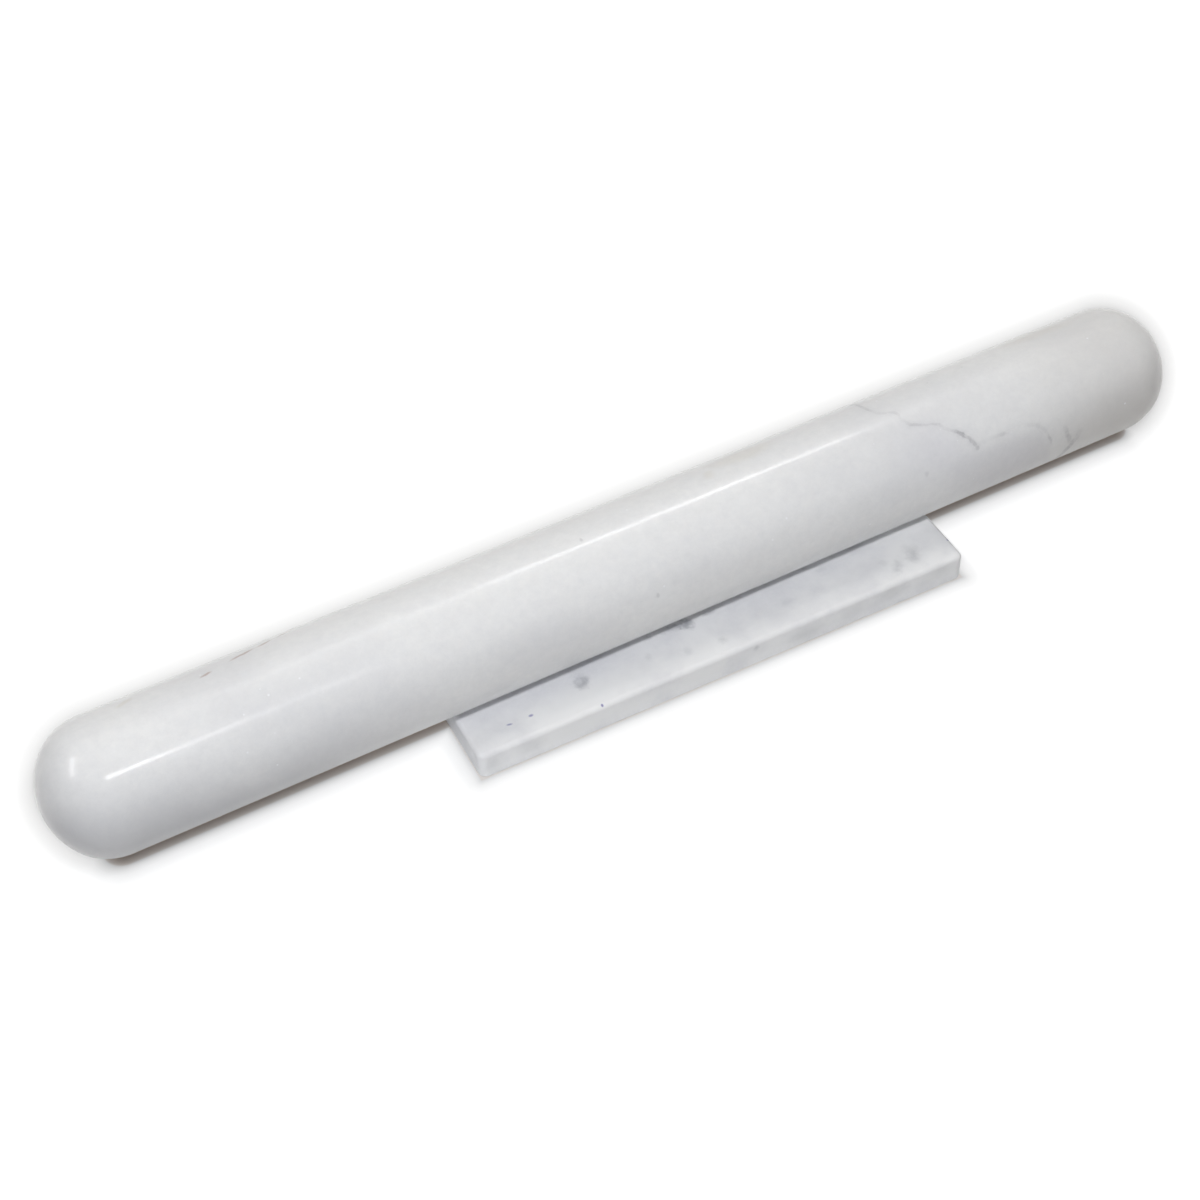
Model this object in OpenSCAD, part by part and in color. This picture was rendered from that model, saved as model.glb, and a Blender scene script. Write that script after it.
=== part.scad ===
// Marble rolling pin without handles, resting in the groove of its own marble base plate.
// Millimetres, +Z up. The pin lies along X, its middle over the origin, and Z = 0 is the table.

/* [Rolling pin] */
// Diameter of the straight bar
pin_d = 50; // [46:1:54]
// Overall length, over both domed ends
pin_len = 460; // [260:5:600]
// Radius of the shoulder, where the bar starts to turn in
shoulder_r = 21.5; // [12:0.5:22.5]
// Radius of the flatter nose at each tip
nose_r = 27.5; // [27:0.5:34]

/* [Base plate] */
// Length of the plate, along its groove
plate_len = 204; // [120:2:240]
// Width of the plate, across its groove
plate_w = 74; // [60:1:110]
// Thickness of the plate
plate_t = 12; // [9:0.5:20]
// Distance of the plate's middle from the pin's middle, along the pin
plate_shift = 16; // [-40:1:40]
// How far the plate lies askew of the pin that was laid on it, in degrees
plate_turn = -1; // [-2:0.5:2]
// Radius of the four upright corners
corner_r = 3; // [2.5:0.5:12]
// Radius of the rounded edge round the top, also where the groove runs out
edge_r = 2; // [0.5:0.25:2.25]
// Height of the small bevel along the bottom edge
foot_bevel = 0.6; // [0.2:0.1:1.5]

/* [Groove] */
// Depth of the groove below the plate's top face
groove_depth = 2; // [1:0.25:4]
// How much larger the groove's radius is than the pin's
groove_ease = 10; // [5:0.5:15]
// Radius of the eased lip on each side of the groove
lip_r = 4; // [1:0.5:6]

/* [Fit] */
// Gap between the resting pin and the groove at the two ends of the plate, where it is least
seat_gap = 0.3; // [0.1:0.05:0.5]

/* [Hidden] */
$fn = 96;

pin_r = pin_d / 2;

groove_floor = plate_t - groove_depth;
groove_r = pin_r + groove_ease;
groove_axis_z = groove_floor + groove_r;

// A pin laid askew rides up the sides of the groove a little at the ends of the plate
askew = plate_len / 2 * sin(plate_turn);
pin_axis_z = groove_axis_z - sqrt(pow(groove_ease - seat_gap, 2) - pow(askew, 2));

// The nose and the shoulder are arcs that meet in a common tangent
nose_back = sqrt(pow(nose_r - shoulder_r, 2) - pow(pin_r - shoulder_r, 2));
nose_at = pin_len / 2 - nose_r;
shoulder_at = nose_at + nose_back;

// Each eased lip is an arc that runs into the top face and into the groove
lip_drop = groove_r - groove_depth + lip_r;
lip_y = sqrt(pow(groove_r + lip_r, 2) - pow(lip_drop, 2));
lip_share = groove_r / (groove_r + lip_r);

// Half of the outline that is turned about the pin's axis: a straight side and one domed end
module pin_half_profile() {
    far = 2 * pin_len;
    square([pin_r, shoulder_at]);
    intersection() {
        translate([pin_r - shoulder_r, shoulder_at]) circle(r = shoulder_r);
        square([pin_r, pin_len]);
    }
    intersection() {
        translate([0, nose_at]) circle(r = nose_r);
        translate([0, nose_at])
            polygon([[0, 0], [(pin_r - shoulder_r) * far, nose_back * far], [0, nose_back * far]]);
    }
}

// Solid bar with a dome at each end
module rolling_pin() {
    color("whitesmoke")
    translate([0, 0, pin_axis_z])
    rotate([0, 90, 0]) {
        rotate_extrude() pin_half_profile();
        mirror([0, 0, 1]) rotate_extrude() pin_half_profile();
    }
}

// Upright section through the plate: bevelled foot, straight sides and rounded top edges
module plate_section(width) {
    side = width / 2;
    polygon([
        [-side + foot_bevel, 0], [side - foot_bevel, 0],
        [side, foot_bevel], [side, plate_t - edge_r],
        [side - edge_r, plate_t - edge_r], [side - edge_r, plate_t],
        [-side + edge_r, plate_t], [-side + edge_r, plate_t - edge_r],
        [-side, plate_t - edge_r], [-side, foot_bevel]
    ]);
    for (end = [-1, 1])
        translate([end * (side - edge_r), plate_t - edge_r]) circle(r = edge_r);
}

// Run of that section, centred and laid along X
module plate_run(width, length) {
    rotate([90, 0, 90])
    translate([0, 0, -length / 2])
    linear_extrude(length) plate_section(width);
}

// Rectangular slab with rounded upright corners
module slab() {
    plate_run(plate_w, plate_len - 2 * corner_r);
    rotate([0, 0, 90]) plate_run(plate_len, plate_w - 2 * corner_r);
    for (x = [-1, 1], y = [-1, 1])
        translate([x * (plate_len / 2 - corner_r), y * (plate_w / 2 - corner_r), 0])
        rotate_extrude()
        intersection() {
            plate_section(2 * corner_r);
            square([corner_r, plate_t]);
        }
}

// Section of the stone that is ground away, seen along the groove, with its axis at the origin
module groove_section() {
    difference() {
        union() {
            circle(r = groove_r);
            polygon([
                [lip_y, 0], [lip_y, lip_r - lip_drop],
                [lip_y * lip_share, -lip_drop * lip_share],
                [-lip_y * lip_share, -lip_drop * lip_share],
                [-lip_y, lip_r - lip_drop], [-lip_y, 0]
            ]);
        }
        for (side = [-1, 1])
            translate([side * lip_y, -lip_drop]) circle(r = lip_r);
    }
}

// Flare that rounds the groove's edge where it runs out through an end face
module groove_mouth() {
    rotate([0, 90, 0])
    translate([0, 0, plate_len / 2 - edge_r])
    rotate_extrude()
    difference() {
        square([groove_r + edge_r, 2 * edge_r]);
        translate([groove_r + edge_r, 0]) circle(r = edge_r);
    }
}

// The groove along the plate, open at both ends
module groove() {
    translate([0, 0, groove_axis_z]) {
        rotate([90, 0, 90])
            translate([0, 0, -plate_len])
            linear_extrude(2 * plate_len) groove_section();
        for (end = [0, 1]) mirror([end, 0, 0]) groove_mouth();
    }
}

// Marble slab with the groove that keeps the pin from rolling away
module base_plate() {
    color("gainsboro")
    translate([plate_shift, 0, 0])
    rotate([0, 0, plate_turn])
    difference() {
        slab();
        groove();
    }
}

base_plate();
rolling_pin();
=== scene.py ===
"""Marble rolling pin on its grooved base plate.

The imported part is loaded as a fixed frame. Both stones are modelled again in full
detail over it, finished as polished and honed marble, and lit in a small studio.
"""

import math

import bmesh
import bpy
from mathutils import Matrix, Vector


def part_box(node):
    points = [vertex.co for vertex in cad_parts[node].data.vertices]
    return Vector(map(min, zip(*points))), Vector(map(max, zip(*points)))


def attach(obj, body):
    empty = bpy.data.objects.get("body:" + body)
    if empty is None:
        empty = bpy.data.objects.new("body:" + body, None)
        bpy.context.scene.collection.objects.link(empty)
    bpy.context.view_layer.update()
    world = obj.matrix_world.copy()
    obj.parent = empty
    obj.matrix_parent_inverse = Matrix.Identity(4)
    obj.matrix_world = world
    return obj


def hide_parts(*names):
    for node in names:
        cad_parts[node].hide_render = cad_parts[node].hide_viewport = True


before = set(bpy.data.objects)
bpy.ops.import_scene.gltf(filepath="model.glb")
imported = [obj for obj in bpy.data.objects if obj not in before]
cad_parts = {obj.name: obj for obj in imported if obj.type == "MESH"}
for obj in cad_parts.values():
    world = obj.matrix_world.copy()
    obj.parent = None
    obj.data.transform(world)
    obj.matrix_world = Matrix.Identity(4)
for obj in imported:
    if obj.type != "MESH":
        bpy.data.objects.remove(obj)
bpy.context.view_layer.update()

bl_info = {
    "name": "Marble Rolling Pin",
    "version": (1, 0, 0),
    "blender": (4, 5, 0),
    "location": "View3D > Sidebar > Rolling Pin",
    "description": "Builds a polished marble rolling pin on its honed base plate",
    "category": "Add Mesh",
}

MM = 0.001

BAR_LOW, BAR_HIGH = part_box("rolling_pin")
PLATE_LOW, PLATE_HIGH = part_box("base_plate")
BAR_DIAMETER = BAR_HIGH.y - BAR_LOW.y
BAR_AXIS_HEIGHT = (BAR_HIGH.z + BAR_LOW.z) / 2

# Steps that the bar's profile and turn, and the plate's curves, are drawn in
NOSE_STEPS, SHOULDER_STEPS, SIDE_STEPS, TURN_STEPS = 14, 20, 52, 192
LIP_STEPS, GROOVE_STEPS, EDGE_STEPS = 8, 40, 8

# Veins on the bar, in mm: place along it, place round it from the top towards the front,
# and how dark the vein is there from 0 to 1.
CROSSING_VEIN = (
    (91.0, -46.0, 0.0), (93.5, -36.0, 0.12), (95.0, -27.0, 0.2), (96.6, -19.0, 0.2),
    (98.5, -14.5, 0.3), (98.6, -9.5, 0.34), (99.2, -5.7, 0.3), (100.5, -2.2, 0.12),
    (102.0, -0.7, 0.2), (104.8, 0.3, 0.16), (106.7, 1.8, 0.26), (106.8, 4.9, 0.1),
    (108.0, 7.7, 0.16), (110.8, 9.5, 0.28), (113.4, 10.7, 0.2), (116.4, 11.5, 0.24),
    (118.9, 12.8, 0.26), (120.2, 14.4, 0.08), (121.8, 16.1, 0.16), (124.5, 17.7, 0.4),
    (125.8, 19.2, 0.6), (127.3, 20.8, 0.5), (128.9, 22.4, 0.38), (130.4, 25.3, 0.5),
    (131.2, 27.5, 0.0),
)
TRAILING_VEIN = (
    (129.8, 25.4, 0.0), (137.0, 25.0, 0.06), (143.0, 25.3, 0.14), (149.5, 25.5, 0.05),
    (155.8, 26.5, 0.12), (158.9, 28.0, 0.16), (161.0, 30.0, 0.12), (162.3, 33.0, 0.2),
    (163.4, 35.5, 0.36), (164.6, 38.2, 0.0),
)
LOWER_VEIN = (
    (169.8, 31.5, 0.0), (171.2, 35.0, 0.32), (172.0, 37.5, 0.36), (173.4, 40.6, 0.24),
    (174.8, 43.6, 0.0),
)
CLOSING_VEIN = (
    (178.2, 36.0, 0.0), (177.2, 39.5, 0.2), (175.4, 43.0, 0.42), (173.4, 47.0, 0.52),
    (172.2, 50.0, 0.4), (171.2, 57.0, 0.0),
)

# Each vein with the half width of its dark line and of the grey beside it, in mm
VEINS = (
    (CROSSING_VEIN, 1.25, 3.6),
    (TRAILING_VEIN, 1.5, 5.0),
    (LOWER_VEIN, 1.7, 4.0),
    (CLOSING_VEIN, 2.3, 5.0),
)
# How far a vein may stray from the straight line between its ends, in mm
VEIN_REACH = 25.0
# How dark the grey beside a vein is, as a share of the vein
VEIN_HALO = 0.22

# Soft spots: centre and half sizes in mm, turn in degrees, strength from 0 to 1, or below
# 0 to clear some of the spot before it. Those on the bar are measured along it and round
# it from the top towards the front.
# Painted shade on both ends of the bar, darker towards its front and underside
BAR_LEFT_PAINTED_SHADE = (
    ((-215, 44), (95, 36), 4, 0.6),
    ((-130, 34), (44, 18), -6, 0.15),
    ((-160, 54), (76, 27), 0, 0.6),
    ((-233, 0), (19, 160), 0, 0.35),
)
BAR_RIGHT_PAINTED_SHADE = (
    ((202, 52), (84, 40), -3, 0.6),
    ((215, 15), (62, 56), 0, 0.22),
)
BAR_UNDER_VEIN = (((145, 46), (48, 36), 4, 0.32),)
BAR_BESIDE_VEIN = (((116, 22), (26, 18), 30, 0.25),)
BAR_WARM = (
    ((47, -11), (18, 7), 5, 0.3),
    ((32, -5), (6, 3), -30, 0.25),
    ((-194, -9.5), (5, 2), -15, 0.4),
    ((180, -14), (22, 7), 10, 0.25),
    ((205, 10), (80, 60), 0, 0.1),
)
BAR_SPECKS = (
    ((-25.9, 0.9), (0.9, 1.3), 0, 0.22),
    ((-7.8, 31.5), (0.8, 1.5), 0, 0.2),
    ((127, -7.6), (0.8, 0.7), 0, 0.13),
    ((144, -8.9), (0.8, 0.8), 0, 0.12),
    ((107.6, 28.4), (1.3, 1.5), 0, 0.13),
    ((142.4, 25.3), (2.4, 1.2), 5, 0.08),
)
BAR_RUST = (
    ((-164, -7.6), (3.2, 1.0), -16, 0.55),
    ((-150, -11.4), (6.4, 1.1), -13, 0.55),
    ((-141, -13.6), (4.6, 1.1), -18, 0.5),
    ((-133, -16.0), (6.0, 1.0), -18, 0.4),
)
PLATE_SMUDGES = (
    ((-54.4, -22.7, 12), (4.4, 5.5, 4), -14, 0.66),
    ((-55.0, -22.2, 12), (1.5, 2.0, 4), -14, -0.3),
    ((-7.6, -16.6, 12), (4.2, 4.0, 4), 0, 0.8),
    ((-13.0, -15.8, 12), (6.4, 3.0, 4), 0, 0.5),
    ((-22.8, -16.2, 12), (3.2, 2.2, 4), 0, 0.42),
    ((2.0, -15.4, 12), (4.0, 1.8, 4), 0, 0.3),
    ((-27.8, -23.7, 12), (2.0, 3.0, 4), 0, 0.15),
    ((-13.6, -28.7, 12), (2.6, 2.6, 4), 20, 0.15),
    ((0.2, -29.7, 12), (2.8, 2.6, 4), -20, 0.2),
    ((30.0, -25.0, 12), (4.0, 3.2, 4), 15, 0.1),
    ((50.0, -16.7, 12), (3.8, 2.4, 4), 15, 0.12),
    ((72.7, -25.0, 12), (3.2, 3.2, 4), 15, 0.1),
    ((76.8, -29.6, 12), (3.0, 6.0, 4), -42, 0.24),
    ((84.0, -28.8, 12), (4.2, 4.0, 4), 40, 0.2),
    ((85.6, -25.0, 12), (4.4, 5.0, 4), 0, 0.16),
    ((10.6, -37.0, 9.2), (1.7, 3.0, 2.1), 0, 0.3),
)
# Painted shade in a band on the plate's top beside the groove, under the bar
PLATE_PAINTED_SHADE_BAND = (
    ((0, -16, 12), (150, 14, 8), 0, 0.22),
    ((-62, -18, 12), (58, 12, 8), 0, 0.3),
)
PLATE_PATCHES = (
    ((32.7, -37.0, 5.0), (12.0, 3.0, 6.0), 0, 0.3),
    ((52.0, -37.0, 6.0), (9.0, 3.0, 7.0), 0, 0.15),
    ((70.0, -37.0, 8.0), (9.0, 3.0, 6.0), 0, 0.25),
    ((92.0, -37.0, 8.8), (11.0, 3.0, 5.0), 0, 0.2),
    ((-97.0, -37.0, 6.3), (7.0, 4.0, 7.0), 0, 0.3),
    ((-82.0, -37.0, 7.0), (8.0, 3.0, 6.0), 0, 0.2),
)
PLATE_INK = (
    ((-86.0, -28.1, 12), (1.6, 0.6, 2), -12, 0.6),
    ((-77.5, -28.1, 12), (1.3, 0.8, 2), 0, 0.75),
    ((-52.9, -36.0, 11.7), (0.7, 0.9, 0.9), 0, 0.8),
    ((101.0, -27.0, 11.6), (0.8, 0.8, 1.5), 0, 0.6),
)

# Light that is added to the floor for the eye, against the distance in mm
UNDER_BAR_LIGHT = (
    (0.0, 0.05), (4.0, 0.06), (5.0, 0.09), (6.0, 0.13), (7.0, 0.2), (8.0, 0.4), (9.0, 0.49),
    (10.0, 0.54), (11.0, 0.59), (12.0, 0.64), (13.0, 0.68), (14.0, 0.71), (16.0, 0.78),
    (20.0, 0.88), (24.0, 0.95),
)
ROUND_PLATE_LIGHT = (
    (0.0, 0.3), (0.5, 0.38), (1.0, 0.44), (1.5, 0.48), (2.0, 0.52), (3.0, 0.58), (4.0, 0.62),
    (5.0, 0.65), (6.0, 0.68), (7.5, 0.75), (10.0, 0.88), (12.0, 0.95),
)
BEHIND_BAR_LIGHT = (
    (0.0, 0.44), (28.0, 0.44), (28.4, 0.49), (29.3, 0.54), (30.2, 0.58), (31.0, 0.61),
    (31.9, 0.63), (32.8, 0.66), (33.7, 0.69), (35.0, 0.73), (37.5, 0.85), (40.0, 0.95),
)

# Middle and half length in mm of the lines that the bar's two shadows follow
UNDER_BAR_LINE = (4.5, 212.5)
BEHIND_BAR_LINE = (19.5, 220.5)
# The one behind the bar also narrows with the distance from its start, and slants, not at
# all at the first of these two ends and fully at the second
CAST_START = 31.0
CAST_ENDS = (-203.0, 238.0)
CAST_SLANT = -0.425
CAST_NARROWING = 0.8
# Heights in metres between which both fade when the bar is lifted
FADE_HEIGHTS = (0.001, 0.03)

FLOOR_HALF_SIZE = 4
FLOOR_HEIGHT = -0.1 * MM

# The camera stands where the photo was taken from: lens in mm, turn in degrees
CAMERA_LENS = 61.204
CAMERA_PLACE = (-0.24605, -0.4552, 0.57382)
CAMERA_TURN = (42.7689, 1.7766, -28.4311)

BAR_MIDDLE = (0, 0, 0.03)

# Lamps: name, place, aim, size, power in watts, colour and what it is for. Fill lamps give
# soft light alone, shine lamps reflections alone. Some also say which way their first
# size runs and how wide their beam is, in degrees.
LAMPS = (
    ("left front softbox", (-1, -1.1, 0.8), BAR_MIDDLE, (1, 0.8), 1.3, "#F2F7FF", "fill"),
    ("rear ceiling", (0, 0.45, 1.4), BAR_MIDDLE, (1.6, 0.7), 7.4, "#FFFCF5", "fill"),
    ("key strip", (-0.25, -0.57, 1.01), BAR_MIDDLE, (0.7, 0.08), 7.5, "#FAFCFF", "fill"),
    (
        "low front card", (0.016, -0.13, 0.012), (0.016, -0.037, 0.006), (0.2, 0.02),
        0.003, "#FFFFFF", "fill",
    ),
    # A narrow beam, so that this card lights the plate's end and not the bar
    (
        "low left card", (-0.14, -0.07, 0.008), (-0.087, -0.028, 0.006), (0.05, 0.014),
        0.0008, "#F6FAFF", "fill", (0, 1, 0), 50,
    ),
    # Three strips lie over one another, so that the highlight swells towards one end
    (
        "front strip", (-0.0725, -0.403, 0.68), BAR_MIDDLE, (0.225, 0.07),
        0.13, "#FFFFFF", "shine",
    ),
    (
        "front strip middle", (-0.1175, -0.4, 0.673), BAR_MIDDLE, (0.118, 0.07),
        0.044, "#FFFFFF", "shine",
    ),
    (
        "front strip end", (-0.156, -0.397, 0.669), BAR_MIDDLE, (0.046, 0.07),
        0.12, "#FFFFFF", "shine",
    ),
    ("rear strip", (0.443, 0.658, 1.458), BAR_MIDDLE, (0.92, 0.16), 0.8, "#FFFFFF", "shine"),
    (
        "rear strip middle", (0.56, 0.634, 1.4), BAR_MIDDLE, (0.44, 0.16),
        0.96, "#FFFFFF", "shine",
    ),
    (
        "rear strip heart", (0.628, 0.629, 1.389), BAR_MIDDLE, (0.09, 0.16),
        0.16, "#FFFFFF", "shine",
    ),
    (
        "left strip", (-0.972, 0.245, 0.955), BAR_MIDDLE, (0.6, 0.22),
        2.1, "#FFFFFF", "shine", (0.15, 0.25, 0.06),
    ),
)


def linear_rgb(code):
    """Linear scene colour of an sRGB hex code."""
    parts = [int(code[i : i + 2], 16) / 255 for i in (1, 3, 5)]
    return tuple(
        c / 12.92 if c <= 0.04045 else ((c + 0.055) / 1.055) ** 2.4 for c in parts
    )


class BarSizes(bpy.types.PropertyGroup):
    """Sizes of the marble bar."""

    diameter: bpy.props.FloatProperty(
        name="Diameter",
        description="Thickness of the straight bar",
        default=BAR_DIAMETER,
        min=0.03,
        max=0.08,
        unit="LENGTH",
        subtype="DISTANCE",
    )
    length: bpy.props.FloatProperty(
        name="Length",
        description="Overall length, over both domed ends",
        default=BAR_HIGH.x - BAR_LOW.x,
        min=0.2,
        max=0.6,
        unit="LENGTH",
        subtype="DISTANCE",
    )
    shoulder_radius: bpy.props.FloatProperty(
        name="Shoulder radius",
        description="Radius where the bar starts to turn in",
        default=21.5 * MM,
        min=0.01,
        max=0.0225,
        unit="LENGTH",
        subtype="DISTANCE",
    )
    nose_radius: bpy.props.FloatProperty(
        name="Nose radius",
        description="Radius of the flatter nose at each tip",
        default=27.5 * MM,
        min=0.0265,
        max=0.034,
        unit="LENGTH",
        subtype="DISTANCE",
    )


class PlateSizes(bpy.types.PropertyGroup):
    """Sizes of the base plate and its groove."""

    length: bpy.props.FloatProperty(
        name="Length",
        description="Length of the plate, along its groove",
        default=204 * MM,
        min=0.12,
        max=0.24,
        unit="LENGTH",
        subtype="DISTANCE",
    )
    width: bpy.props.FloatProperty(
        name="Width",
        description="Width of the plate, across its groove",
        default=74 * MM,
        min=0.06,
        max=0.11,
        unit="LENGTH",
        subtype="DISTANCE",
    )
    thickness: bpy.props.FloatProperty(
        name="Thickness",
        description="Thickness of the plate",
        default=PLATE_HIGH.z - PLATE_LOW.z,
        min=0.009,
        max=0.02,
        unit="LENGTH",
        subtype="DISTANCE",
    )
    shift: bpy.props.FloatProperty(
        name="Shift",
        description="Distance of the plate's middle from the bar's middle",
        default=(PLATE_HIGH.x + PLATE_LOW.x) / 2,
        unit="LENGTH",
        subtype="DISTANCE",
    )
    turn: bpy.props.FloatProperty(
        name="Turn",
        description="How far the plate lies askew of the bar",
        default=math.radians(-1),
        unit="ROTATION",
        subtype="ANGLE",
    )
    corner_radius: bpy.props.FloatProperty(
        name="Corner radius",
        description="Radius of the four upright corners",
        default=3 * MM,
        unit="LENGTH",
        subtype="DISTANCE",
    )
    edge_radius: bpy.props.FloatProperty(
        name="Edge radius",
        description="Radius of the eased edge round the top",
        default=2 * MM,
        unit="LENGTH",
        subtype="DISTANCE",
    )
    foot_bevel: bpy.props.FloatProperty(
        name="Foot bevel",
        description="Height of the small bevel along the bottom edge",
        default=0.6 * MM,
        unit="LENGTH",
        subtype="DISTANCE",
    )
    groove_depth: bpy.props.FloatProperty(
        name="Groove depth",
        description="Depth of the groove below the top face",
        default=2 * MM,
        unit="LENGTH",
        subtype="DISTANCE",
    )
    groove_radius: bpy.props.FloatProperty(
        name="Groove radius",
        description="Radius that the groove was ground to",
        default=35 * MM,
        unit="LENGTH",
        subtype="DISTANCE",
    )
    lip_radius: bpy.props.FloatProperty(
        name="Lip radius",
        description="Radius of the eased lip on each side of the groove",
        default=4 * MM,
        unit="LENGTH",
        subtype="DISTANCE",
    )


class StoneColours(bpy.types.PropertyGroup):
    """Colours of the two marbles and of the floor."""

    bar_white: bpy.props.FloatVectorProperty(
        name="Bar white",
        description="Clean white of the polished bar",
        default=linear_rgb("#EFEFEF"),
        min=0,
        max=1,
        subtype="COLOR",
    )
    bar_cloud: bpy.props.FloatVectorProperty(
        name="Bar cloud",
        description="Cool grey that drifts through the bar",
        default=linear_rgb("#DDDDE0"),
        min=0,
        max=1,
        subtype="COLOR",
    )
    vein: bpy.props.FloatVectorProperty(
        name="Vein",
        description="Darkest grey in the heart of a vein",
        default=linear_rgb("#6E6C76"),
        min=0,
        max=1,
        subtype="COLOR",
    )
    rust: bpy.props.FloatVectorProperty(
        name="Rust",
        description="Brown of the iron traces near the top of the bar",
        default=linear_rgb("#9C7466"),
        min=0,
        max=1,
        subtype="COLOR",
    )
    plate_white: bpy.props.FloatVectorProperty(
        name="Plate white",
        description="Cooler white of the honed plate",
        default=linear_rgb("#F5F5F5"),
        min=0,
        max=1,
        subtype="COLOR",
    )
    plate_cloud: bpy.props.FloatVectorProperty(
        name="Plate cloud",
        description="Blue grey mottle of the plate",
        default=linear_rgb("#DDDDE1"),
        min=0,
        max=1,
        subtype="COLOR",
    )
    floor: bpy.props.FloatVectorProperty(
        name="Floor",
        description="Pale floor that the plate stands on",
        default=linear_rgb("#C4C2C0"),
        min=0,
        max=1,
        subtype="COLOR",
    )


def add_node(tree, kind, settings=None, inputs=None):
    """Adds one node to a tree, gives it its settings and sets or links its inputs."""
    node = tree.nodes.new(kind)
    for name, value in (settings or {}).items():
        setattr(node, name, value)
    for socket, value in (inputs or {}).items():
        if isinstance(value, bpy.types.NodeSocket):
            tree.links.new(value, node.inputs[socket])
        else:
            node.inputs[socket].default_value = value
    return node


def calculate(tree, operation, *values, clamp=False):
    """Works out one step of arithmetic on sockets or numbers."""
    settings = {"operation": operation, "use_clamp": clamp}
    return add_node(tree, "ShaderNodeMath", settings, dict(enumerate(values))).outputs[0]


def calculate_vector(tree, operation, *values):
    """Works out one step on sockets or vectors. A length comes out as a number."""
    node = add_node(
        tree, "ShaderNodeVectorMath", {"operation": operation}, dict(enumerate(values))
    )
    return node.outputs["Value" if operation == "LENGTH" else "Vector"]


def remap(tree, value, low, high, start=0.0, end=1.0, kind="LINEAR"):
    """Carries a value from low to high over to start to end, and holds it there."""
    inputs = {0: value, 1: low, 2: high, 3: start, 4: end}
    node = add_node(tree, "ShaderNodeMapRange", {"interpolation_type": kind}, inputs)
    return node.outputs[0]


def lay_out(tree, place, centre=(0, 0, 0), turn=0.0, scale=(1, 1, 1)):
    """Place as measured from a centre, along turned and scaled axes."""
    inputs = {"Vector": place, "Location": centre, "Rotation": (0, 0, turn), "Scale": scale}
    return add_node(tree, "ShaderNodeMapping", {"vector_type": "TEXTURE"}, inputs).outputs[0]


def split_axes(tree, value):
    """The three numbers of a vector."""
    return add_node(tree, "ShaderNodeSeparateXYZ", None, {0: value}).outputs[:]


def join_axes(tree, x, y):
    """Flat vector of two numbers."""
    return add_node(tree, "ShaderNodeCombineXYZ", None, {0: x, 1: y}).outputs[0]


def add_noise(tree, place, size, detail, roughness=0.5, output="Fac"):
    """Noise with patches of a size in mm."""
    inputs = {"Vector": place, "Scale": 1 / size, "Detail": detail, "Roughness": roughness}
    return add_node(tree, "ShaderNodeTexNoise", None, inputs).outputs[output]


def tint(tree, base, colour, amount):
    """Colour socket of base, moved towards colour by an amount from 0 to 1."""
    mixed = add_node(
        tree, "ShaderNodeMix", {"data_type": "RGBA"}, {0: amount, 6: base, 7: (*colour, 1)}
    )
    return mixed.outputs[2]


def follow_curve(tree, value, steps):
    """Reads a smooth curve through steps, (0 to 1, height), at a value."""
    curve = add_node(tree, "ShaderNodeFloatCurve", None, {1: value})
    points = curve.mapping.curves[0].points
    points[0].location = steps[0]
    for step in steps[1:-1]:
        points.new(*step)
    points[-1].location = steps[-1]
    for point in points:
        point.handle_type = "AUTO_CLAMPED"
    curve.mapping.update()
    return curve.outputs[0]


def follow_height(floor, piece):
    """Stores how far a piece is raised from rest, in metres, on the floor as "raised"."""
    group = bpy.data.node_groups.new("height of the bar", "GeometryNodeTree")
    for way in ("INPUT", "OUTPUT"):
        group.interface.new_socket(
            name="Geometry", in_out=way, socket_type="NodeSocketGeometry"
        )
    source = add_node(group, "NodeGroupInput")
    info = add_node(group, "GeometryNodeObjectInfo", None, {"Object": piece})
    height = split_axes(group, info.outputs["Location"])[2]
    stored = add_node(
        group,
        "GeometryNodeStoreNamedAttribute",
        {"data_type": "FLOAT", "domain": "POINT"},
        {"Geometry": source.outputs[0], "Name": "raised", "Value": height},
    )
    add_node(group, "NodeGroupOutput", None, {0: stored.outputs[0]})
    floor.modifiers.new("height of the bar", "NODES").node_group = group


def measure_gap(tree, place, centre, half_sizes, turn=0.0):
    """Distance from a place to a turned box, nothing inside the box."""
    value = calculate_vector(tree, "ABSOLUTE", lay_out(tree, place, centre, turn))
    value = calculate_vector(tree, "SUBTRACT", value, half_sizes)
    value = calculate_vector(tree, "MAXIMUM", value, (0, 0, 0))
    return calculate_vector(tree, "LENGTH", value)


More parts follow.
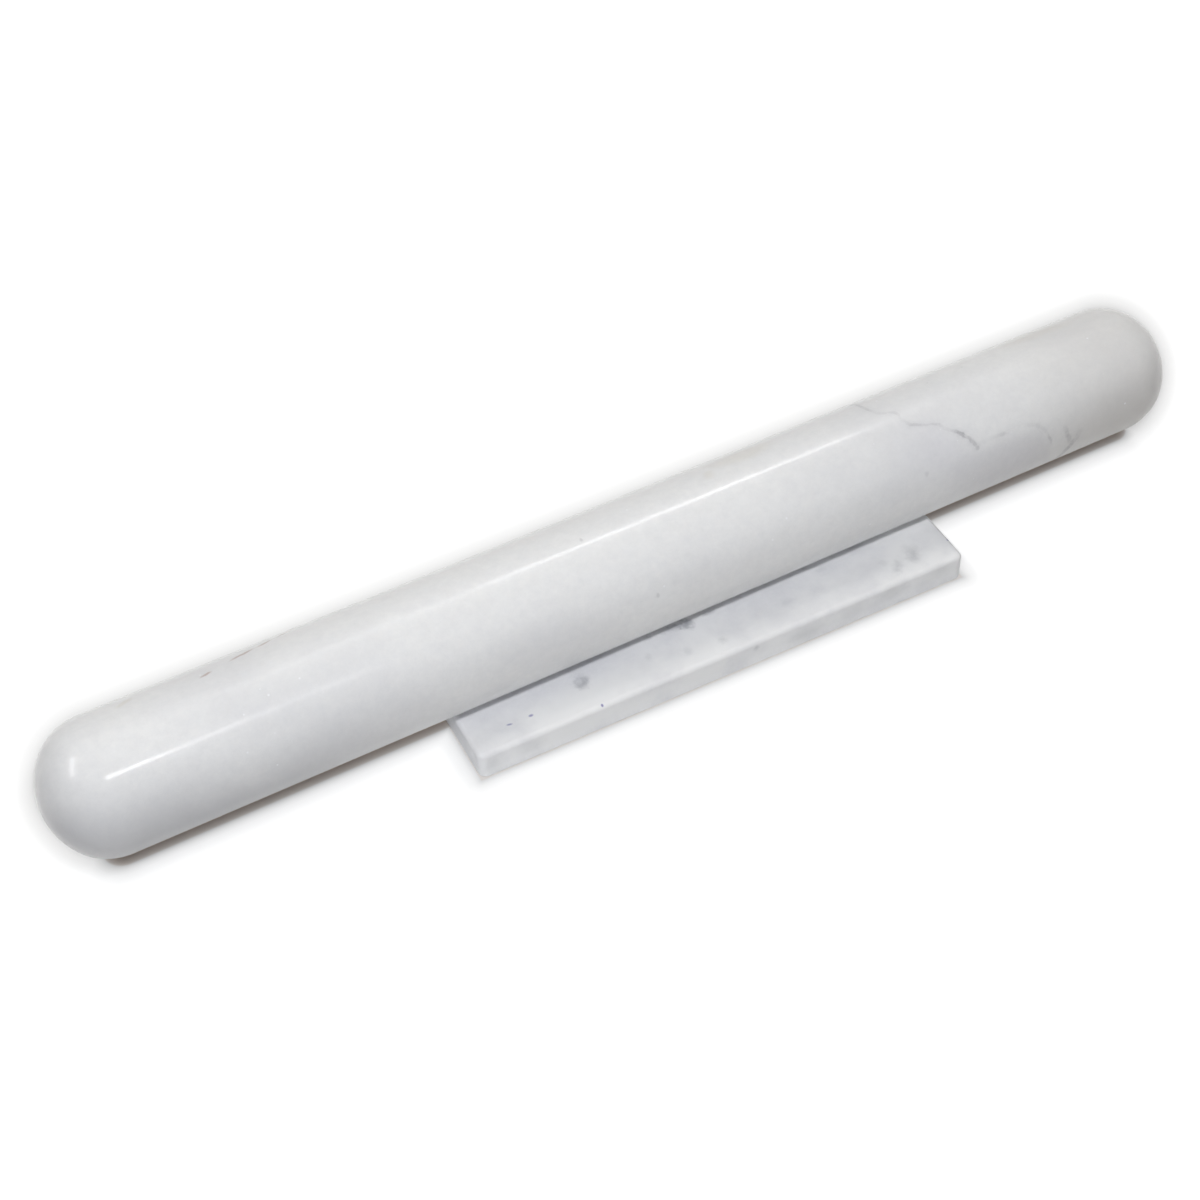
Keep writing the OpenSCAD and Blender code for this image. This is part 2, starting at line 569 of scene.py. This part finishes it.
def trace_vein(tree, place, path, width, halo):
    """Masks of a vein on a path of (along, round, darkness) points in mm, and of what
    lies under it.

    The path is laid along one axis, so that one curve gives how far the vein strays
    from the straight line between its ends and another how dark it is.
    """
    (x0, y0, _), (x1, y1, _) = path[0], path[-1]
    span, angle = math.hypot(x1 - x0, y1 - y0), math.atan2(y1 - y0, x1 - x0)
    along, across, _ = split_axes(tree, lay_out(tree, place, (x0, y0, 0), angle))
    share = calculate(tree, "DIVIDE", along, span)
    stray, depth = [], []
    for x, y, dark in path:
        u = ((x - x0) * math.cos(angle) + (y - y0) * math.sin(angle)) / span
        v = (y - y0) * math.cos(angle) - (x - x0) * math.sin(angle)
        stray.append((u, v / (2 * VEIN_REACH) + 0.5))
        depth.append((u, dark))
    course = follow_curve(tree, share, stray)
    course = remap(tree, course, 0.0, 1.0, -VEIN_REACH, VEIN_REACH)
    off = calculate(tree, "SUBTRACT", across, course)
    under = remap(tree, off, -1.0, 6.0, kind="SMOOTHSTEP")
    off = calculate(tree, "ABSOLUTE", off)
    line = remap(tree, off, 0.0, width, 1.0, 0.0, "SMOOTHERSTEP")
    beside = remap(tree, off, 0.0, halo, VEIN_HALO, 0.0, "SMOOTHERSTEP")
    both = calculate(tree, "ADD", line, beside, clamp=True)
    held = calculate(tree, "MULTIPLY", both, follow_curve(tree, share, depth))
    inside = calculate(tree, "COMPARE", share, 0.5, 0.5)
    return calculate(tree, "MULTIPLY", held, inside), under


def soft_spots(tree, place, spots, core=0.25, ragged=None):
    """Mask of soft-edged spots, each (centre, half sizes, turn in degrees, strength).

    The core is the share of a spot that is full strength before it starts to fade. The
    ragged socket, when there is one, moves the edge in and out by a share of the spot.
    """
    total = None
    for centre, half_sizes, turn, strength in spots:
        # Rows with two numbers lie on the unrolled skin of the bar
        centre, half_sizes = (*centre, 0)[:3], (*half_sizes, 1)[:3]
        laid = lay_out(tree, place, centre, math.radians(turn), half_sizes)
        away = calculate_vector(tree, "LENGTH", laid)
        if ragged is not None:
            away = calculate(tree, "ADD", away, ragged)
        spot = remap(tree, away, core, 1.0, strength, 0.0, "SMOOTHSTEP")
        if total is not None:
            spot = calculate(tree, "ADD", total, spot, clamp=True)
        total = spot
    return total


def start_material(name):
    """New node material without nodes, as (material, tree)."""
    material = bpy.data.materials.new(name)
    material.use_nodes = True
    material.node_tree.nodes.clear()
    return material, material.node_tree


def wander(tree, place, size, push):
    """Place in mm, pushed about by noise so that what is drawn on it looks grown."""
    noise = add_noise(tree, place, size, 3.0, output="Color")
    centred = calculate_vector(tree, "SUBTRACT", noise, (0.5, 0.5, 0.5))
    return calculate_vector(tree, "MULTIPLY_ADD", centred, (push, push, 0), place)


def finish_stone(tree, colour, rough, relief, depth, constants):
    """Adds a stone's shader and output. The depth of the relief is in mm."""
    bump = add_node(
        tree,
        "ShaderNodeBump",
        None,
        {"Strength": 1.0, "Distance": depth * MM, "Height": relief},
    )
    linked = {"Base Color": colour, "Roughness": rough, "Normal": bump.outputs[0]}
    shader = add_node(tree, "ShaderNodeBsdfPrincipled", None, {**linked, **constants})
    add_node(tree, "ShaderNodeOutputMaterial", None, {"Surface": shader.outputs[0]})


def polished_marble(colours):
    """White marble turned on a lathe and polished to a soft shine."""
    # Carrara-like white marble: compact calcite, ground with finer and finer grit.
    # To the eye it is a glowing, slightly see-through white with drifting grey, one
    # fine vein, small glints where a crystal face shows, painted into the colour here, and
    # thin bright highlights.
    material, tree = start_material("polished white marble")
    coordinates = add_node(tree, "ShaderNodeTexCoord")
    stone = lay_out(
        tree, coordinates.outputs["Object"], (0, 0, BAR_AXIS_HEIGHT), scale=(MM, -MM, MM)
    )
    along, front, up = split_axes(tree, stone)
    angle = calculate(tree, "ARCTAN2", front, up)
    arc = calculate(tree, "MULTIPLY", angle, BAR_DIAMETER / 2 / MM)
    skin = join_axes(tree, along, arc)
    grown = wander(tree, skin, 2.5, 1.2)
    drifted = wander(tree, skin, 24.0, 14)

    # Clouds 60 mm across, with finer ones in them, drift through the whole stone
    cloud = add_noise(tree, stone, 60, 5.0, 0.55)
    cloud = remap(tree, cloud, 0.42, 0.75, 0.0, 0.55, "SMOOTHSTEP")
    colour = tint(tree, (*colours.bar_white, 1), colours.bar_cloud, cloud)
    # Grains of calcite 1 to 4 mm across differ a little in tone
    grain = add_noise(tree, stone, 3.5, 5.0, 0.8)
    grain_share = remap(tree, grain, 0.3, 0.7, 0.0, 0.3)
    colour = tint(tree, colour, linear_rgb("#CFD0D4"), grain_share)
    # Painted shade: both ends are darker and greyer towards the front and underside of the
    # bar, where less light reaches them
    end_shade = soft_spots(tree, drifted, BAR_LEFT_PAINTED_SHADE, core=0.0)
    colour = tint(tree, colour, linear_rgb("#BFC0C5"), end_shade)
    end_shade = soft_spots(tree, drifted, BAR_RIGHT_PAINTED_SHADE, core=0.0)
    colour = tint(tree, colour, linear_rgb("#C0BBB6"), end_shade)
    traced = {vein[0]: trace_vein(tree, grown, *vein) for vein in VEINS}
    # Grey violet under the trailing vein, a little of it beside the crossing vein
    violet = soft_spots(tree, drifted, BAR_UNDER_VEIN, core=0.0)
    violet = calculate(tree, "MULTIPLY", violet, traced[TRAILING_VEIN][1])
    colour = tint(tree, colour, linear_rgb("#B5B2BC"), violet)
    beside = soft_spots(tree, drifted, BAR_BESIDE_VEIN, core=0.0)
    colour = tint(tree, colour, linear_rgb("#CECDD8"), beside)
    warm = soft_spots(tree, drifted, BAR_WARM)
    colour = tint(tree, colour, linear_rgb("#D5CFC3"), warm)
    # The veins come and go, grain by grain
    vein_share = remap(tree, grain, 0.35, 0.65, 0.4, 1.0)
    for vein, _ in traced.values():
        colour = tint(
            tree, colour, colours.vein, calculate(tree, "MULTIPLY", vein, vein_share)
        )
    colour = tint(tree, colour, colours.vein, soft_spots(tree, grown, BAR_SPECKS))
    colour = tint(tree, colour, colours.rust, soft_spots(tree, grown, BAR_RUST))
    # Painted glints: tiny spots lightened in the colour where crystal faces under 1 mm would
    # catch the light, one in a 9 mm cell at most
    painted_glint = add_node(tree, "ShaderNodeTexVoronoi", None, {"Vector": stone, "Scale": 1 / 9})
    painted_glint_share = remap(tree, painted_glint.outputs["Distance"], 0.03, 0.055, 0.7, 0.0)
    colour = tint(tree, colour, linear_rgb("#FBFCFF"), painted_glint_share)
    # The polish varies over 7 mm, and leaves waves a few microns deep and 12 mm long
    rough = remap(tree, add_noise(tree, stone, 7, 4.0), 0.3, 0.7, 0.30, 0.38)
    waves = add_noise(tree, stone, 12, 2.0)
    constants = {
        "IOR": 1.5,
        "Subsurface Weight": 0.25,
        "Subsurface Radius": (1.0, 0.95, 0.9),
        "Subsurface Scale": 2.5 * MM,
        "Coat Weight": 0.5,
        "Coat Roughness": 0.1,
        "Coat IOR": 1.5,
    }
    finish_stone(tree, colour, rough, waves, 0.006, constants)
    return material


def honed_marble(colours, sizes):
    """White marble sawn into a small slab and honed to a matt face."""
    # Offcut of white marble: the same calcite, cooler and more mottled, finished with
    # a coarse hone. To the eye it is matt, blue grey in soft patches, with a few dark
    # mineral spots and tiny ink-like specks.
    material, tree = start_material("honed white marble")
    coordinates = add_node(tree, "ShaderNodeTexCoord")
    stone = lay_out(
        tree,
        coordinates.outputs["Object"],
        (sizes.shift, 0, 0),
        sizes.turn,
        (MM, MM, MM),
    )
    grown = wander(tree, stone, 3.0, 2.6)
    # Soft mottle, 22 mm across with finer patches in it
    mottle = add_noise(tree, stone, 22, 6.0, 0.6)
    mottle = remap(tree, mottle, 0.4, 0.72, 0.0, 0.6, "SMOOTHSTEP")
    colour = tint(tree, (*colours.plate_white, 1), colours.plate_cloud, mottle)
    # Dark mineral between the grains, in clumps about 2 mm across
    scatter = remap(tree, add_noise(tree, stone, 2.2, 2.0), 0.25, 0.75, -0.24, 0.24)
    smudges = soft_spots(tree, grown, PLATE_SMUDGES, core=0.0, ragged=scatter)
    colour = tint(tree, colour, linear_rgb("#787B82"), smudges)
    # Painted shade: a darker, bluer band beside the groove, under the bar, most of all at
    # one end
    band_shade = soft_spots(tree, stone, PLATE_PAINTED_SHADE_BAND, core=0.1)
    colour = tint(tree, colour, linear_rgb("#C6C7CF"), band_shade)
    # Broad, faint patches on the front face
    patches = soft_spots(tree, grown, PLATE_PATCHES, core=0.0)
    colour = tint(tree, colour, linear_rgb("#B4B5B7"), patches)
    colour = tint(tree, colour, linear_rgb("#5A55A0"), soft_spots(tree, stone, PLATE_INK))
    # Grains about 1 mm across, which the hone leaves standing a little
    grain = add_noise(tree, stone, 1.2, 2.0)
    grain_share = remap(tree, grain, 0.35, 0.75, 0.0, 0.16)
    colour = tint(tree, colour, linear_rgb("#F4F5F6"), grain_share)
    rough = remap(tree, grain, 0.3, 0.7, 0.48, 0.6)
    constants = {
        "IOR": 1.5,
        "Subsurface Weight": 0.12,
        "Subsurface Radius": (1.0, 0.97, 0.95),
        "Subsurface Scale": 1.2 * MM,
    }
    finish_stone(tree, colour, rough, grain, 0.02, constants)
    return material


def show_to_eye(tree, mirror_share=1.0):
    """1 for what the camera sees, straight or through stone, and a share for what it sees
    mirrored."""
    path = add_node(tree, "ShaderNodeLightPath").outputs
    mirrored = calculate(tree, "MULTIPLY", path["Is Glossy Ray"], mirror_share)
    seen = calculate(tree, "MAXIMUM", path["Is Camera Ray"], mirrored)
    return calculate(tree, "MAXIMUM", seen, path["Is Transmission Ray"])


def light_floor(tree, place, plate):
    """Light that is added to the floor for the eye, and the distance from the plate.

    The floor is blown out to plain white but for three soft shadows, painted by holding this
    light back: the dark one under the bar, one all round the plate, and a faint one behind
    the bar.
    """
    along, across, _ = split_axes(tree, place)
    behind = calculate(tree, "SUBTRACT", across, CAST_START)
    slant = remap(tree, along, *CAST_ENDS, 0.0, CAST_SLANT)
    cast = join_axes(
        tree,
        calculate(tree, "MULTIPLY_ADD", behind, slant, along),
        calculate(tree, "MULTIPLY", behind, CAST_NARROWING),
    )
    under_middle, under_half = UNDER_BAR_LINE
    cast_middle, cast_half = BEHIND_BAR_LINE
    under_gap = measure_gap(tree, place, (under_middle, 0, 0), (under_half, 0, 1))
    cast_gap = measure_gap(tree, cast, (cast_middle, 0, 0), (cast_half, 0, 1))
    half_sizes = (plate.length / 2 / MM, plate.width / 2 / MM, 1)
    plate_gap = measure_gap(tree, place, (plate.shift / MM, 0, 0), half_sizes, plate.turn)

    # The bar takes its two shadows with it when it is lifted
    raised = add_node(tree, "ShaderNodeAttribute", {"attribute_name": "raised"})
    faded = remap(tree, raised.outputs["Fac"], *FADE_HEIGHTS, kind="SMOOTHSTEP")
    lift = None
    for gap, steps, fades in (
        (under_gap, UNDER_BAR_LIGHT, True),
        (plate_gap, ROUND_PLATE_LIGHT, False),
        (cast_gap, BEHIND_BAR_LIGHT, True),
    ):
        reach = steps[-1][0]
        share = remap(tree, gap, 0.0, reach)
        light = follow_curve(tree, share, [(away / reach, value) for away, value in steps])
        if fades:
            light = calculate(tree, "MAXIMUM", light, faded)
        lift = light if lift is None else calculate(tree, "MINIMUM", lift, light)
    return lift, plate_gap


def pale_floor(colours, plate):
    """Matt floor. The eye sees it white with soft shadows, the stones as it is."""
    material, tree = start_material("pale matt floor")
    coordinates = add_node(tree, "ShaderNodeTexCoord")
    place = lay_out(tree, coordinates.outputs["Object"], scale=(MM, MM, MM))
    lift, plate_gap = light_floor(tree, place, plate)
    # The shade under the bar is browner than the rest
    deep = remap(tree, lift, 0.12, 0.4, 1.0, 0.0)
    grey = tint(tree, (*linear_rgb("#A5A5A5"), 1), linear_rgb("#B7A597"), deep)
    shade = add_node(tree, "ShaderNodeBsdfDiffuse", None, {"Color": grey})
    glow = add_node(
        tree, "ShaderNodeEmission", None, {"Color": (1, 1, 1, 1), "Strength": lift}
    )
    lit = add_node(
        tree, "ShaderNodeAddShader", None, {0: shade.outputs[0], 1: glow.outputs[0]}
    )
    # Close round the plate the floor throws more light on its faces
    close = remap(tree, plate_gap, 3.0, 16.0, 1.0, 0.0, "SMOOTHSTEP")
    pale = tint(tree, (*colours.floor, 1), linear_rgb("#ECECED"), close)
    plain = add_node(tree, "ShaderNodeBsdfDiffuse", None, {"Color": pale})
    # Polished stone mirrors the brighter floor behind it more than the one in front
    across = split_axes(tree, place)[1]
    seen = show_to_eye(tree, remap(tree, across, -40.0, 40.0, 0.5, 0.75))
    shown = add_node(
        tree, "ShaderNodeMixShader", None, {0: seen, 1: plain.outputs[0], 2: lit.outputs[0]}
    )
    add_node(tree, "ShaderNodeOutputMaterial", None, {"Surface": shown.outputs[0]})
    return material


def keep_piece(name, shape, material, body, node):
    """Makes a finished piece of a bmesh and hangs it on its body in the frame."""
    bmesh.ops.recalc_face_normals(shape, faces=shape.faces)
    for face in shape.faces:
        face.smooth = True
    if any(not edge.is_manifold for edge in shape.edges):
        raise RuntimeError(f"{name} is not closed")
    mesh = bpy.data.meshes.new(name)
    shape.to_mesh(mesh)
    shape.free()
    mesh.materials.append(material)
    piece = bpy.data.objects.new(name, mesh)
    bpy.context.scene.collection.objects.link(piece)
    even = piece.modifiers.new("even shading", "WEIGHTED_NORMAL")
    even.mode = "FACE_AREA"
    even.keep_sharp = False
    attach(piece, body)
    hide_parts(node)
    return piece


def sweep_point(shape, point, centre, axis, angle, steps):
    """Turns a point about a centre, leaving an arc of edges, and gives its new place."""
    swept = bmesh.ops.spin(
        shape, geom=[point], cent=centre, axis=axis, angle=angle, steps=steps
    )
    return swept["geom_last"][0]


def draw_point(shape, point, offset, steps=1):
    """Draws a point out along an offset in equal steps and gives its new place."""
    for _ in range(steps):
        point = bmesh.ops.extrude_vert_indiv(shape, verts=[point])["verts"][0]
        bmesh.ops.translate(shape, verts=[point], vec=[part / steps for part in offset])
    return point


class TurnBar(bpy.types.Operator):
    """Turn the marble bar with a dome at each end"""

    bl_idname = "rolling_pin.turn_bar"
    bl_label = "Turn the Bar"

    def execute(self, context):
        sizes = context.scene.pin_bar
        radius = sizes.diameter / 2
        inset = radius - sizes.shoulder_radius
        nose_back = math.sqrt((sizes.nose_radius - sizes.shoulder_radius) ** 2 - inset**2)
        nose_at = sizes.length / 2 - sizes.nose_radius
        shoulder_at = nose_at + nose_back
        nose_angle = math.atan2(inset, nose_back)
        shoulder_angle = math.pi / 2 - nose_angle
        axis_height = BAR_AXIS_HEIGHT
        back = (0, -1, 0)

        # Half section: nose, shoulder, straight side, shoulder, nose
        shape = bmesh.new()
        point = shape.verts.new((sizes.length / 2, 0, axis_height))
        centre = (nose_at, 0, axis_height)
        point = sweep_point(shape, point, centre, back, nose_angle, NOSE_STEPS)
        centre = (shoulder_at, 0, axis_height + inset)
        point = sweep_point(shape, point, centre, back, shoulder_angle, SHOULDER_STEPS)
        point = draw_point(shape, point, (-2 * shoulder_at, 0, 0), SIDE_STEPS)
        centre = (-shoulder_at, 0, axis_height + inset)
        point = sweep_point(shape, point, centre, back, shoulder_angle, SHOULDER_STEPS)
        centre = (-nose_at, 0, axis_height)
        sweep_point(shape, point, centre, back, nose_angle, NOSE_STEPS)

        # The section is turned round the bar's axis
        bmesh.ops.spin(
            shape,
            geom=shape.verts[:] + shape.edges[:],
            cent=(0, 0, axis_height),
            axis=(1, 0, 0),
            angle=2 * math.pi,
            steps=TURN_STEPS,
            use_merge=True,
        )
        bmesh.ops.remove_doubles(shape, verts=shape.verts, dist=0.001 * MM)
        material = polished_marble(context.scene.pin_stone)
        keep_piece("turned_bar", shape, material, "pin", "rolling_pin")
        return {"FINISHED"}


class CutPlate(bpy.types.Operator):
    """Cut the base plate, grind its groove and ease its edges"""

    bl_idname = "rolling_pin.cut_plate"
    bl_label = "Cut the Plate"

    def execute(self, context):
        sizes = context.scene.pin_plate
        top, side, end = sizes.thickness, sizes.width / 2, sizes.length / 2
        groove_height = top - sizes.groove_depth + sizes.groove_radius
        lip_height = top - sizes.lip_radius
        lip_at = math.sqrt(
            (sizes.groove_radius + sizes.lip_radius) ** 2 - (groove_height - lip_height) ** 2
        )
        lean = math.atan2(lip_at, groove_height - lip_height)
        along = (1, 0, 0)

        # Section across the plate, from one lip over the groove and round the slab
        shape = bmesh.new()
        first = shape.verts.new((-end, lip_at, top))
        point = first
        for centre, angle, steps in (
            ((-end, lip_at, lip_height), lean, LIP_STEPS),
            ((-end, 0, groove_height), -2 * lean, GROOVE_STEPS),
            ((-end, -lip_at, lip_height), lean, LIP_STEPS),
        ):
            point = sweep_point(shape, point, centre, along, angle, steps)
        point = draw_point(shape, point, (0, lip_at - side, 0))
        point = draw_point(shape, point, (0, 0, -top))
        point = draw_point(shape, point, (0, 2 * side, 0))
        point = draw_point(shape, point, (0, 0, top))
        shape.edges.new((point, first))
        section = bmesh.ops.contextual_create(shape, geom=shape.edges[:])["faces"]
        drawn = bmesh.ops.extrude_face_region(shape, geom=section, use_keep_orig=True)
        moved = [part for part in drawn["geom"] if isinstance(part, bmesh.types.BMVert)]
        bmesh.ops.translate(shape, verts=moved, vec=(sizes.length, 0, 0))
        bmesh.ops.recalc_face_normals(shape, faces=shape.faces)

        # Upright corners, then the eased top edge and groove mouths, then the foot
        upright = [
            edge
            for edge in shape.edges
            if abs(edge.verts[0].co.z - edge.verts[1].co.z) > 0.9 * top
        ]
        self.ease(shape, upright, sizes.corner_radius, EDGE_STEPS)
        self.ease(shape, self.rim(shape, 1), sizes.edge_radius, EDGE_STEPS)
        self.ease(shape, self.rim(shape, -1), sizes.foot_bevel, 1)
        turn = Matrix.Rotation(sizes.turn, 3, "Z")
        bmesh.ops.rotate(shape, verts=shape.verts, cent=(0, 0, 0), matrix=turn)
        bmesh.ops.translate(shape, verts=shape.verts, vec=(sizes.shift, 0, 0))
        material = honed_marble(context.scene.pin_stone, sizes)
        keep_piece("grooved_plate", shape, material, "base", "base_plate")
        return {"FINISHED"}

    @staticmethod
    def ease(shape, edges, offset, segments):
        """Rounds or bevels edges by an offset."""
        if not edges:
            raise RuntimeError("there is no edge to ease")
        bmesh.ops.bevel(
            shape,
            geom=edges,
            offset=offset,
            offset_type="OFFSET",
            segments=segments,
            profile=0.5,
            affect="EDGES",
            material=-1,
            clamp_overlap=False,
        )

    @staticmethod
    def rim(shape, facing):
        """Edges where a face that looks up or down meets an upright one."""
        shape.normal_update()
        found = []
        for edge in shape.edges:
            tilts = sorted(facing * face.normal.z for face in edge.link_faces)
            if len(tilts) == 2 and abs(tilts[0]) < 0.01 and tilts[1] > 0.5:
                found.append(edge)
        return found


class SetStage(bpy.types.Operator):
    """Set up the floor, the lamps, the sky and the camera"""

    bl_idname = "rolling_pin.set_stage"
    bl_label = "Set the Stage"

    def execute(self, context):
        scene = context.scene
        scene.view_settings.view_transform = "Standard"
        self.lay_floor(scene)
        for lamp in LAMPS:
            self.hang_lamp(scene, *lamp)
        self.fill_world(scene)
        self.place_camera(scene)
        return {"FINISHED"}

    @staticmethod
    def lay_floor(scene):
        """Lays a wide floor under the plate."""
        shape = bmesh.new()
        bmesh.ops.create_grid(shape, x_segments=1, y_segments=1, size=FLOOR_HALF_SIZE)
        bmesh.ops.translate(shape, verts=shape.verts, vec=(0, 0, FLOOR_HEIGHT))
        mesh = bpy.data.meshes.new("floor")
        shape.to_mesh(mesh)
        shape.free()
        floor = bpy.data.objects.new("floor", mesh)
        scene.collection.objects.link(floor)
        if "turned_bar" in bpy.data.objects:
            follow_height(floor, bpy.data.objects["turned_bar"])
        mesh.materials.append(pale_floor(scene.pin_stone, scene.pin_plate))

    @staticmethod
    def hang_lamp(
        scene, name, place, aim, size, power, colour, role, along=(1, 0, 0), spread=180
    ):
        """Rectangular lamp at a place, turned towards its aim."""
        light = bpy.data.lights.new(name, "AREA")
        light.shape = "RECTANGLE"
        light.size, light.size_y = size
        light.energy = power
        light.color = linear_rgb(colour)
        light.spread = math.radians(spread)
        lamp = bpy.data.objects.new(name, light)
        lamp.location = place
        back = (Vector(place) - Vector(aim)).normalized()
        side = Vector(along)
        side = (side - side.project(back)).normalized()
        axes = Matrix((side, back.cross(side), back)).transposed()
        lamp.rotation_euler = axes.to_euler()
        lamp.visible_glossy = role == "shine"
        lamp.visible_diffuse = role == "fill"
        lamp.visible_camera = False
        scene.collection.objects.link(lamp)

    @staticmethod
    def fill_world(scene):
        """Soft light from all round, brightest overhead, and plain white to the eye."""
        world = bpy.data.worlds.new("studio air")
        scene.world = world
        world.use_nodes = True
        tree = world.node_tree
        tree.nodes.clear()
        coordinates = add_node(tree, "ShaderNodeTexCoord")
        up = split_axes(tree, coordinates.outputs["Generated"])[2]
        soft = remap(tree, up, -0.1, 0.8, 0.0, 0.17, "SMOOTHSTEP")
        seen = show_to_eye(tree)
        strength = add_node(
            tree, "ShaderNodeMix", {"data_type": "FLOAT"}, {0: seen, 2: soft, 3: 1.0}
        )
        air = add_node(
            tree,
            "ShaderNodeBackground",
            None,
            {"Color": (1, 1, 1, 1), "Strength": strength.outputs[0]},
        )
        add_node(tree, "ShaderNodeOutputWorld", None, {"Surface": air.outputs[0]})

    @staticmethod
    def place_camera(scene):
        """Camera that looks down over the left front of the pin."""
        lens = bpy.data.cameras.new("camera")
        lens.sensor_width = 36.0
        lens.lens = CAMERA_LENS
        lens.clip_start, lens.clip_end = 0.01, 50
        camera = bpy.data.objects.new("camera", lens)
        camera.location = CAMERA_PLACE
        camera.rotation_euler = [math.radians(angle) for angle in CAMERA_TURN]
        scene.collection.objects.link(camera)
        scene.camera = camera


class RollingPinPanel(bpy.types.Panel):
    """Sizes, colours and steps of the marble rolling pin"""

    bl_idname = "VIEW3D_PT_rolling_pin"
    bl_label = "Marble Rolling Pin"
    bl_space_type = "VIEW_3D"
    bl_region_type = "UI"
    bl_category = "Rolling Pin"

    def draw(self, context):
        scene = context.scene
        for title, group, operator in (
            ("Bar", scene.pin_bar, TurnBar.bl_idname),
            ("Plate", scene.pin_plate, CutPlate.bl_idname),
            ("Stone", scene.pin_stone, SetStage.bl_idname),
        ):
            box = self.layout.box()
            box.label(text=title)
            for name in group.__annotations__:
                box.prop(group, name)
            box.operator(operator)


CLASSES = (
    BarSizes,
    PlateSizes,
    StoneColours,
    TurnBar,
    CutPlate,
    SetStage,
    RollingPinPanel,
)


def register():
    """Registers the classes and hangs the settings on the scene."""
    for kind in CLASSES:
        bpy.utils.register_class(kind)
    bpy.types.Scene.pin_bar = bpy.props.PointerProperty(type=BarSizes)
    bpy.types.Scene.pin_plate = bpy.props.PointerProperty(type=PlateSizes)
    bpy.types.Scene.pin_stone = bpy.props.PointerProperty(type=StoneColours)


def unregister():
    """Takes the settings off the scene and unregisters the classes."""
    del bpy.types.Scene.pin_stone
    del bpy.types.Scene.pin_plate
    del bpy.types.Scene.pin_bar
    for kind in reversed(CLASSES):
        bpy.utils.unregister_class(kind)


def main():
    """Builds the whole scene."""
    register()
    bpy.ops.rolling_pin.turn_bar()
    bpy.ops.rolling_pin.cut_plate()
    bpy.ops.rolling_pin.set_stage()
    bpy.context.view_layer.update()


if __name__ == "__main__":
    main()
